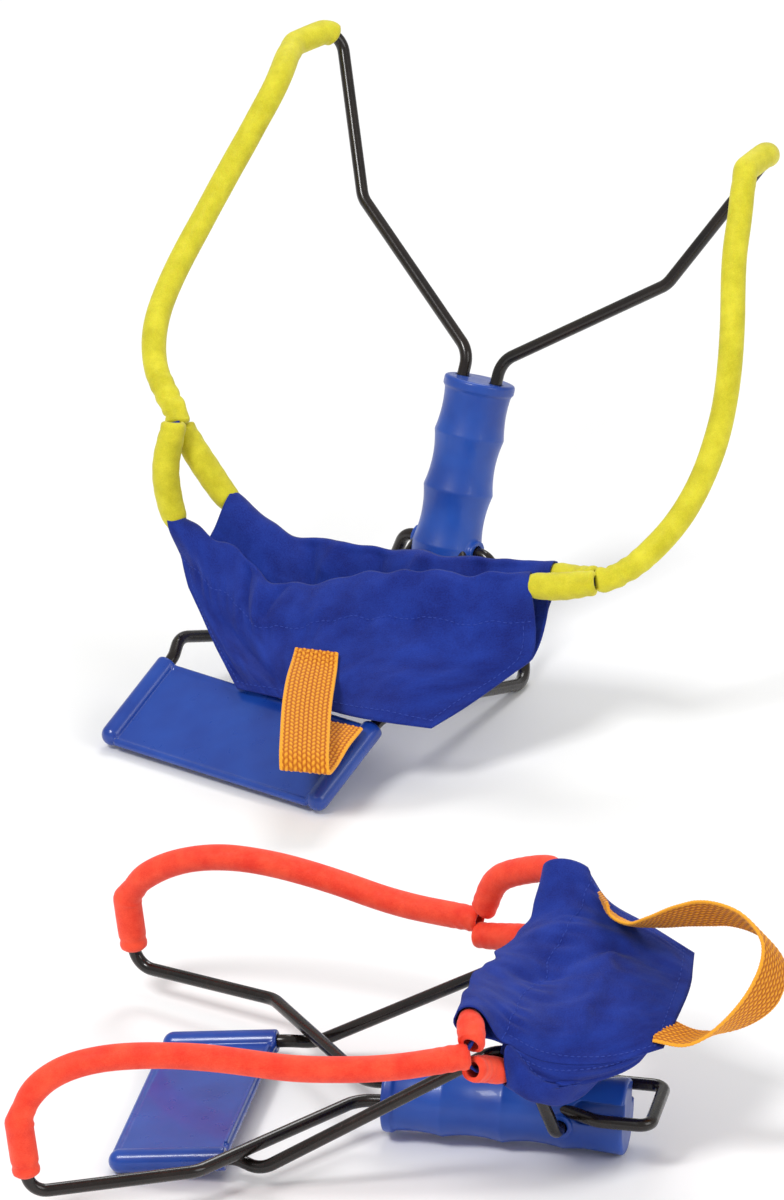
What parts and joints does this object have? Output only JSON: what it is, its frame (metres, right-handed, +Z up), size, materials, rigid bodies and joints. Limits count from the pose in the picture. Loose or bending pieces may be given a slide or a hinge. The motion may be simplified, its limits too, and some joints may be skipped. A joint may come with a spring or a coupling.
{
  "type": "water balloon slingshot pair",
  "caption": "Pair of hand-held water-balloon slingshots: wire fork, ridged grip, rubber tubing, cloth pouch with pull loop, and a folding wrist brace, one open and one folded.",
  "frame": {"origin": "bottom centre of the pair's bounding box, on the ground", "axes": "+Z up; +Y runs from the red launcher to the yellow one, the pair's longest extent; +X is to the right in the picture"},
  "size_m": [0.3774, 0.8226, 0.2917],
  "materials": {
    "black_rod": "gloss black-brown coating on bent steel rod",
    "grip_plastic": "satin moulded blue plastic",
    "plate_plastic": "glossy moulded blue plastic",
    "yellow_tubing": "matte yellow latex-like tubing",
    "red_tubing": "matte orange-red latex-like tubing",
    "sling_nylon": "royal blue woven nylon with sewn hems",
    "pull_webbing": "orange coarse-woven flat webbing"
  },
  "bodies": {
    "root": {"yellow_fork_rod": "black_rod", "yellow_grip": "grip_plastic", "yellow_band_left": "yellow_tubing", "yellow_band_right": "yellow_tubing", "yellow_sleeve_left_front": "yellow_tubing", "yellow_sleeve_left_rear": "yellow_tubing", "yellow_sleeve_right_front": "yellow_tubing", "yellow_sleeve_right_rear": "yellow_tubing", "yellow_sling_strap_left": "sling_nylon", "yellow_sling_strap_right": "sling_nylon", "yellow_pouch_front_panel": "sling_nylon", "yellow_pouch_rear_panel": "sling_nylon", "yellow_pull_loop": "pull_webbing", "red_fork_rod": "black_rod", "red_grip": "grip_plastic", "red_band_left": "red_tubing", "red_band_right": "red_tubing", "red_sleeve_left_front": "red_tubing", "red_sleeve_left_rear": "red_tubing", "red_sleeve_right_front": "red_tubing", "red_sleeve_right_rear": "red_tubing", "red_sling_strap_left": "sling_nylon", "red_sling_strap_right": "sling_nylon", "red_pouch_front_panel": "sling_nylon", "red_pouch_rear_panel": "sling_nylon", "red_pull_loop": "pull_webbing"},
    "yellow_brace": {"yellow_brace_leg_left": "black_rod", "yellow_brace_leg_right": "black_rod", "yellow_brace_plate": "plate_plastic"},
    "red_brace": {"red_brace_leg_left": "black_rod", "red_brace_leg_right": "black_rod", "red_brace_plate": "plate_plastic"}
  },
  "joints": [
    {"name": "yellow_brace_fold", "type": "hinge", "parent": "root", "child": "yellow_brace", "pos_m": [0.02123, 0.25411, 0.06169], "axis": [0.7965, -0.6046, 0], "range_deg": [0, 236]},
    {"name": "red_brace_fold", "type": "hinge", "parent": "root", "child": "red_brace", "pos_m": [0.07567, -0.32246, 0.0191], "axis": [-0.1822, -0.9833, 0], "range_deg": [0, 236]}
  ]
}
